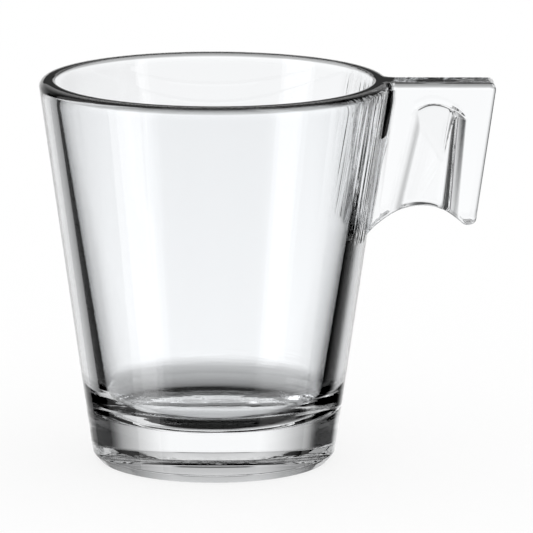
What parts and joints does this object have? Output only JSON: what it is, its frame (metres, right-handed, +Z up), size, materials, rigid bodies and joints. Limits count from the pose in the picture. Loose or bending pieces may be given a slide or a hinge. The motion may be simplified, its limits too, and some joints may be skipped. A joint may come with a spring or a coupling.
{
  "type": "espresso cup",
  "caption": "Thick clear glass espresso cup: tapered bowl with a rounded rim and heavy base, and a flat tab handle with thumb pockets and a finger arch.",
  "frame": {"origin": "middle of the foot, on the cup's axis, at the surface that it stands on", "axes": "+Z up along the cup's axis, +X towards the handle, Y across the handle's faces"},
  "size_m": [0.0803, 0.0616, 0.0682],
  "materials": {
    "clear_glass": "fire-polished clear pressed glass"
  },
  "bodies": {
    "root": {"cup_body": "clear_glass", "handle": "clear_glass"}
  },
  "joints": []
}
